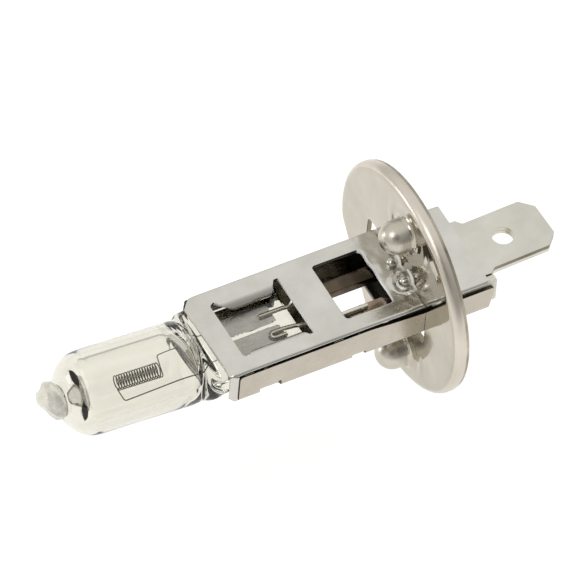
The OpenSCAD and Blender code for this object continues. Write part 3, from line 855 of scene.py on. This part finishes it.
def channel_point(x, s):
    """The lower shell's outer face from its flat blank: s runs across, from the middle."""
    flat_half = CHANNEL_HALF - CHANNEL_BEND
    side = 1 if s >= 0 else -1
    run = abs(s)
    arc = CHANNEL_BEND * math.pi / 2
    if run <= flat_half:
        y, lift = run, 0.0
        in_rear_flap = REAR_WINDOW[0] + 0.7 < x < REAR_WINDOW[1] - 0.6
        if (in_flap(x) or in_rear_flap) and run < WINDOW_HALF + FLAP_ROOT:
            y, lift = flap_bent(run)
        return Vector((x, side * y, CHANNEL_BOTTOM + lift))
    if run <= flat_half + arc:
        a = (run - flat_half) / CHANNEL_BEND
        return Vector((x, side * (flat_half + CHANNEL_BEND * math.sin(a)),
                       CHANNEL_BOTTOM + CHANNEL_BEND * (1 - math.cos(a))))
    z = CHANNEL_BOTTOM + CHANNEL_BEND + run - flat_half - arc
    bulge = 0.015 * noise.noise(Vector((x * 0.4, z * 0.6, side * 5)))
    return Vector((x, side * (CHANNEL_HALF + bulge - 0.01), z))


def blank_height(z):
    """How far across the flat blank a wall point at height z lies."""
    return CHANNEL_HALF - 2 * CHANNEL_BEND + CHANNEL_BEND * math.pi / 2 + z - CHANNEL_BOTTOM


def lower_shell():
    top = blank_height(WALL_TOP)
    low_top = blank_height(WALL_TOP - WALL_DROP)
    half_drop = blank_height(WALL_TOP - WALL_DROP / 2)
    chamfer = blank_height(0.5)
    side = [(CHANNEL_FRONT, top, 0.3), (-5.2, top, 1.5), (-3.2, half_drop, 1.5),
            (0.0, low_top, 1.0), (CHANNEL_REAR, low_top, 0.25), (CHANNEL_REAR, chamfer, 0.4),
            (CHANNEL_REAR - 0.5, CHANNEL_HALF - CHANNEL_BEND, 0.3)]
    corners = side + [(x, -s, r) for x, s, r in reversed(side)]
    bend_start = CHANNEL_HALF - CHANNEL_BEND
    holes = [window_loop(FRONT_WINDOW, True), rear_lower_window()]
    for x, length, reach, radius in ((-15.7, 1.9, 0.85, 0.1), (-13.98, 0.34, 1.02, 0.16),
                                     (-6.9, 1.3, 0.75, 0.1)):
        for sign in (-1, 1):
            y0, y1 = sorted((sign * (bend_start - 0.1), sign * (bend_start + reach)))
            holes.append(dense(round_loop([(x, y0, radius), (x + length, y0, radius),
                                           (x + length, y1, radius), (x, y1, radius)], 0.08), 0.15))
    extra = [p for sign in (-1, 1) for k in range(0, 9)
             for p in row(CHANNEL_FRONT, CHANNEL_REAR, sign * (bend_start + k * 0.1))]
    bm = bmesh.new()
    add_blank(bm, blank(dense(round_loop(corners), 0.2), holes, 0.24, extra), channel_point, True)
    piece = new_piece("lower_shell_pressing", bm, [WARM_NICKEL, INNER_SHADE_STEEL, SHEARED_EDGE_SHADE], closed=False)
    # Inner faces take slot 1, whose darker tones are painted shade.
    # Rim faces take slot 2, the sheared edges' painted shade.
    thicken(piece, SHEET_T, 1)
    soften(piece, EDGE_SOFTNESS)
    settle(piece)
    stands_for(piece, "lower_shell")


def rear_lower_window():
    x0, x1 = REAR_WINDOW
    half = WINDOW_HALF
    free = half + FLAP_ROOT - 1.6
    side = [(x0, half - 0.1, 0.25), (x0 + 0.75, half - 0.1, 0.2), (x0 + 0.95, free, 0.35),
            (x1 - 0.85, free, 0.35), (x1 - 0.65, half - 0.1, 0.2), (x1, half - 0.1, 0.25)]
    return dense(round_loop(side + [(x, -y, r) for x, y, r in reversed(side)], 0.08), 0.2)


# -------------------------------------------------------------------- flange


def rim_point(angle, inset, x):
    """A point of the flange's outline, moved inwards by inset, at depth x."""
    reach = FLANGE_R - inset
    facing = math.cos(angle - CHORD_ANGLE)
    if facing > 0:
        flat = (CHORD_REACH - inset) / facing
        blend, far = 0.05, 20
        reach = -blend * math.log(math.exp(-min(reach, far) / blend)
                                  + math.exp(-min(flat, far) / blend))
    return Vector((x, reach * math.cos(angle) + FLANGE_Y, reach * math.sin(angle) - FLANGE_DROP))


def boss_centre(turn, side):
    return Vector((-BOSS_CIRCLE_R * math.sin(turn),
                   side * BOSS_CIRCLE_R * math.cos(turn) - FLANGE_DROP))


def flange_point(y, z):
    """The flange's front face, with pressing ripples round the bosses."""
    x = 0.0
    for turn, side in BOSSES:
        away = (Vector((y, z)) - boss_centre(turn, side)).length
        x += 0.04 * bell(away - BOSS_R - 0.85, 0.3) - 0.03 * bell(away - BOSS_R - 1.45, 0.3)
        x += 0.02 * bell(away - BOSS_R - 2.05, 0.3)
    x += 0.03 * noise.noise(Vector((y * 0.28, z * 0.28, 2)))
    x -= 0.3 * bell(math.hypot(y - SPATTER[0], z - SPATTER[1]), 0.24)
    edge = smooth(1.6, 0.2, FLANGE_R - RIM_BEND - math.hypot(y - FLANGE_Y, z + FLANGE_DROP))
    return Vector((x * (1 - edge), y, z))


def flange_hole():
    y0, y1, z0, z1 = HOLE
    notch = WELD_R + 0.18
    corners = [(y0, z0, 0.4), (y1, z0, 0.6), (y1, z1, 0.5)]
    for y in sorted(WELD_Y, reverse=True):
        corners += [(y + notch + 0.15, z1, 0.15), (y + notch * 0.7, z1 + notch, 0.5),
                    (y - notch * 0.7, z1 + notch, 0.5), (y - notch - 0.15, z1, 0.15)]
    corners.append((y0, z1, 0.4))
    return dense(round_loop(corners, 0.1), 0.25)


def focus_flange():
    bm = bmesh.new()
    count = 160
    angles = [2 * math.pi * i / count for i in range(count)]
    face_loop = [Vector(rim_point(a, RIM_BEND, 0)[1:]) for a in angles]
    boss_loops = [ring(boss_centre(*boss), BOSS_R + BOSS_FOOT, BOSS_SIDES) for boss in BOSSES]
    extra = [p for boss in BOSSES for k in range(1, 20)
             for p in ring(boss_centre(*boss), BOSS_R + BOSS_FOOT + k * 0.11, BOSS_SIDES)]
    extra += [p for k in range(0, 6) for p in ring(SPATTER, k * 0.09, 4 + 3 * k)]
    flat = blank(face_loop, [flange_hole()] + boss_loops, 0.28, extra)
    border = {(round(p.x, 4), round(p.y, 4)) for loop in [face_loop] + boss_loops for p in loop}

    def place(y, z):
        if (round(y, 4), round(z, 4)) in border:
            return Vector((0, y, z))
        return flange_point(y, z)

    add_blank(bm, flat, place)
    rim = [(RIM_BEND * (1 - math.sin(a)), RIM_BEND * (1 - math.cos(a)))
           for a in [math.radians(15 * k) for k in range(7)]]
    rim += [(0.0, FLANGE_DEPTH - 0.32), (0.03, FLANGE_DEPTH - 0.25), (0.1, FLANGE_DEPTH - 0.02)]
    add_rings(bm, [[rim_point(a, inset, x) for a in angles] for inset, x in rim])
    for boss in BOSSES:
        centre = boss_centre(*boss)
        section = [(BOSS_R + BOSS_FOOT * (1 - math.sin(a)), BOSS_FOOT * (1 - math.cos(a)))
                   for a in [math.radians(18 * k) for k in range(6)]]
        section.append((BOSS_R, BOSS_H - BOSS_R))
        section += [(BOSS_R * math.cos(a), BOSS_H - BOSS_R + BOSS_R * math.sin(a))
                    for a in [math.radians(9 * k) for k in range(1, 10)]]
        rings = [[Vector((-height, *p)) for p in ring(centre, radius, BOSS_SIDES)]
                 for radius, height in section]
        add_rings(bm, rings, close_end=True)
    piece = new_piece("focus_flange_pressing", bm,
                      [BRIGHT_NICKEL, SHEARED_STEEL, BURNISHED_NICKEL, ROLLED_RIM])
    edge_slot, boss_slot, rim_slot = 1, 2, 3
    edge_depth, rim_depth, boss_depth = FLANGE_DEPTH - 0.3, 0.12, -0.25
    for face in piece.data.polygons:
        depth = face.center.x
        if depth > edge_depth:
            face.material_index = edge_slot
        elif depth > rim_depth:
            face.material_index = rim_slot
        elif depth < boss_depth:
            face.material_index = boss_slot
    face_forward(piece)
    thicken(piece, FLANGE_T)
    soften(piece, 0.06, 2, 60)
    settle(piece, 40)
    stands_for(piece, "focus_flange")


def face_forward(piece):
    """Makes the flange's sheet face -X, outwards at its rim."""
    mesh = piece.data
    front = [p for p in mesh.polygons if abs(p.normal.x) > 0.9]
    if sum(p.normal.x * p.area for p in front) > 0:
        mesh.flip_normals()


def flange_welds():
    bm = bmesh.new()
    for y in WELD_Y:
        bm.verts.new((WELD_X, y, PLATE_TOP + 0.1))
    piece = new_piece("flange_weld_beads", bm, [WELD_METAL])
    use_tree(piece, BEAD_TREE, Radius=WELD_R, Flatness=0.95, Metal=WELD_METAL)
    settle(piece)
    stands_for(piece, "flange_welds")


# ------------------------------------------------------- insulator and blade


def lead_welds():
    bm = bmesh.new()
    on_tongue = (-4.75, TONGUE_Y, BLADE_TOP - NUGGET_SINK)
    under_plate = (-8.1, 2.05, PLATE_TOP - SHEET_T - NUGGET_SINK)
    for place in (on_tongue, under_plate):
        bm.verts.new(place)
    piece = new_piece("lead_weld_nuggets", bm, [WELD_METAL])
    use_tree(piece, BEAD_TREE, Radius=NUGGET_R, Flatness=0.7, Metal=WELD_METAL)
    settle(piece)
    stands_for(piece, "lead_welds")


def insulator():
    bm = bmesh.new()
    half = CHANNEL_HALF - SHEET_T - 0.1
    low = CHANNEL_BOTTOM + SHEET_T + 0.05
    front, rear = INSULATOR_FRONT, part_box("insulator")[1][0] / MM
    under = BLADE_TOP - BLADE_T - 0.03
    top = WALL_TOP - WALL_DROP + 0.3
    outline = [Vector(p) for p in (
        (-half, low), (half, low), (half, top), (BLADE_Y + SHOULDER_HALF + 0.2, top),
        (BLADE_Y + SHOULDER_HALF + 0.2, under), (BLADE_Y - SHOULDER_HALF - 0.1, under),
        (BLADE_Y - SHOULDER_HALF - 0.1, top), (-half, top))]
    add_slab(bm, [dense(outline, 1.5)], front, rear, lambda p: Vector((p.z, p.x, p.y)))
    bmesh.ops.recalc_face_normals(bm, faces=bm.faces)
    bmesh.ops.bisect_plane(bm, geom=bm.verts[:] + bm.edges[:] + bm.faces[:],
                           plane_co=(rear - CORNER_CUT, half, 0), plane_no=(1, 1, 0),
                           clear_outer=True)
    bmesh.ops.holes_fill(bm, edges=[e for e in bm.edges if e.is_boundary])
    piece = new_piece("ceramic_insulator", bm, [STEATITE])
    soften(piece, 0.1, 3, 30)
    settle(piece)
    stands_for(piece, "insulator")


def blade_outline():
    corners = [(BLADE_ROOT, -SHOULDER_HALF, 0.2), (SHOULDER_X, -SHOULDER_HALF, 0.15),
               (SHOULDER_X + SHOULDER_TAPER, -BLADE_HALF, 0.3),
               (BLADE_REACH - BLADE_CHAMFER, -BLADE_HALF, 0.3),
               (BLADE_REACH, BLADE_CHAMFER - BLADE_HALF, 0.25),
               (BLADE_REACH, BLADE_HALF - BLADE_CHAMFER, 0.25),
               (BLADE_REACH - BLADE_CHAMFER, BLADE_HALF, 0.3),
               (SHOULDER_X + SHOULDER_TAPER, BLADE_HALF, 0.3),
               (SHOULDER_X, SHOULDER_HALF, 0.15), (BLADE_ROOT, SHOULDER_HALF, 0.2)]
    return dense(round_loop(corners, 0.06), 1.0)


def blade_place(p):
    """Turns the blade by its yaw behind the shoulders and puts it in line with its hole."""
    turn = Matrix.Rotation(BLADE_YAW * smooth(6.4, 7.4, p.x), 2)
    turned = turn @ Vector((p.x - BLADE_HOLE_X, p.y))
    return Vector((turned.x + BLADE_HOLE_X, turned.y + BLADE_Y, p.z))


def blade_terminal():
    bm = bmesh.new()
    hole = ring((BLADE_HOLE_X, 0), BLADE_HOLE_R, 64)
    middle = BLADE_TOP - BLADE_T / 2
    fold = 0.006
    for low, high in ((BLADE_TOP - BLADE_T, middle - fold), (middle + fold, BLADE_TOP)):
        add_slab(bm, [blade_outline(), hole], low, high, blade_place)
    tongue = [Vector(p) for p in (
        (-1.1, TONGUE_Y - TONGUE_HALF), (-1.1, TONGUE_Y + TONGUE_HALF),
        (TONGUE_TIP + 0.5, TONGUE_Y + TONGUE_HALF), (TONGUE_TIP, TONGUE_Y),
        (TONGUE_TIP + 0.5, TONGUE_Y - TONGUE_HALF))]
    inset = 0.002
    add_slab(bm, [tongue], BLADE_TOP - BLADE_T + inset, BLADE_TOP - BLADE_T + TONGUE_T)
    x, near, far = ROOT_TAB
    tab = round_loop([(-1.4, near, 0), (-1.4, far, 0), (x, far, 0.2), (x, near, 0.2)])
    add_slab(bm, [tab], BLADE_TOP - BLADE_T + inset, BLADE_TOP - inset)
    piece = new_piece("blade_terminal_folded", bm,
                      [TIN_PLATE, BARE_BRASS, BRASS_PAINTED_SHADE, COPPER_TINT, CUT_BRASS])
    hole_slot, prong_shade_slot, tongue_slot, cut_slot = 1, 2, 3, 4
    centre = Vector((BLADE_HOLE_X, BLADE_Y))
    for face in piece.data.polygons:
        if (face.center.to_2d() - centre).length < BLADE_HOLE_R + 0.05:
            face.material_index = hole_slot
        # Inside the cap the far prong takes the painted shade material, the tongue its copper tint.
        elif face.center.x < -1.3:
            face.material_index = prong_shade_slot if face.center.y > 0 else tongue_slot
        elif abs(face.normal.z) < 0.5 and face.center.z > middle:
            face.material_index = cut_slot
    soften(piece, 0.07, 3, 40)
    settle(piece)
    for face in piece.data.polygons:
        away = (face.center.to_2d() / MM - centre).length
        if away < BLADE_HOLE_R + 0.1 and 0.05 < face.normal.z < 0.999:
            face.material_index = cut_slot
    stands_for(piece, "blade_terminal")


# --------------------------------------------------------------------- stage


def stage():
    low = cad_box[0][2]
    half_size, drop = 600, 9
    bm = bmesh.new()
    bmesh.ops.create_grid(bm, x_segments=1, y_segments=1, size=half_size)
    bmesh.ops.translate(bm, verts=bm.verts, vec=(0, 0, low / MM - drop))
    material, tree, shader, place = new_material("matt_white_card", Roughness=0.9)
    cloud = grain(tree, place, 40)
    tree.links.new(tones(tree, cloud, "#C9C8C6", "#CFCECC"), shader.inputs["Base Color"])
    shader.inputs["Emission Color"].default_value = linear("#FFFFFF")
    shader.inputs["Emission Strength"].default_value = 0.6
    floor = new_piece("floor", bm, [material])
    settle(floor)


def look_frame(azimuth, elevation, roll=0.0):
    """The right, up and back directions of something that looks at the origin."""
    a, e, r = (math.radians(v) for v in (azimuth, elevation, roll))
    back = Vector((math.sin(a) * math.cos(e), -math.cos(a) * math.cos(e), math.sin(e)))
    side = Vector((math.cos(a), math.sin(a), 0))
    over = back.cross(side)
    right = side * math.cos(r) + over * math.sin(r)
    up = over * math.cos(r) - side * math.sin(r)
    return right, up, back


def camera():
    azimuth, elevation, roll = -31.8, 49.8, 5.0
    right, up, back = look_frame(azimuth, elevation, roll)
    aim = Vector((-8.27, 3.49, -1.18)) * MM
    distance = 1.5
    field = 49.28 * MM
    sensor = 36
    data = bpy.data.cameras.new("camera")
    data.sensor_width = sensor
    data.lens = sensor * distance / field
    data.clip_start = 0.01
    view = bpy.data.objects.new("camera", data)
    turn = Matrix((right, up, back)).transposed().to_4x4()
    view.matrix_world = Matrix.Translation(aim + back * distance) @ turn
    bpy.context.scene.collection.objects.link(view)
    bpy.context.scene.camera = view


def soft_light(name, azimuth, elevation, size, power, distance=0.5):
    right, up, back = look_frame(azimuth, elevation)
    data = bpy.data.lights.new(name, "AREA")
    data.shape = "DISK"
    data.size = size
    data.energy = power
    lamp = bpy.data.objects.new(name, data)
    lamp.matrix_world = Matrix.Translation(back * distance) @ Matrix(
        (right, up, back)).transposed().to_4x4()
    bpy.context.scene.collection.objects.link(lamp)


def surroundings():
    """A pale studio: light above, dimmer down to the horizon, with dark rooms cut out of it."""
    world = bpy.data.worlds.new("studio")
    world.use_nodes = True
    tree = world.node_tree
    tree.nodes.clear()
    place = add(tree, "ShaderNodeTexCoord").outputs["Generated"]
    height = add(tree, "ShaderNodeSeparateXYZ", {0: place}).outputs["Z"]
    glow = add(tree, "ShaderNodeMapRange", {
        "Value": height, "From Min": 0.0, "From Max": 0.6, "To Min": 0.6, "To Max": 0.98})
    strength = glow.outputs["Result"]
    for azimuth, elevation, edge, core, depth in DARK_ROOMS:
        facing = add(tree, "ShaderNodeVectorMath", {
            0: place, 1: look_frame(azimuth, elevation)[2]}, operation="DOT_PRODUCT")
        room = spread(tree, facing.outputs["Value"], 1.0, depth, edge, core)
        dimmed = add(tree, "ShaderNodeMath", {0: strength, 1: room}, operation="MULTIPLY")
        strength = dimmed.outputs[0]
    light = add(tree, "ShaderNodeBackground", {
        "Color": linear("#FFFEFC"), "Strength": strength})
    output = add(tree, "ShaderNodeOutputWorld")
    tree.links.new(light.outputs[0], output.inputs["Surface"])
    bpy.context.scene.world = world


camera()
stage()
surroundings()
soft_light("overhead_softbox", -78, 54, 0.24, 0.35)
soft_light("back_softbox", -124, 7, 0.16, 0.22)
bpy.context.scene.view_settings.view_transform = "Standard"

glass_capsule()
filament()
foil("foil_live", -1)
foil("foil_ground", 1)
leads()
upper_shell()
lower_shell()
focus_flange()
flange_welds()
lead_welds()
insulator()
blade_terminal()
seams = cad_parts["shell_welds"].data.materials
seams.clear()
seams.append(WELD_METAL)
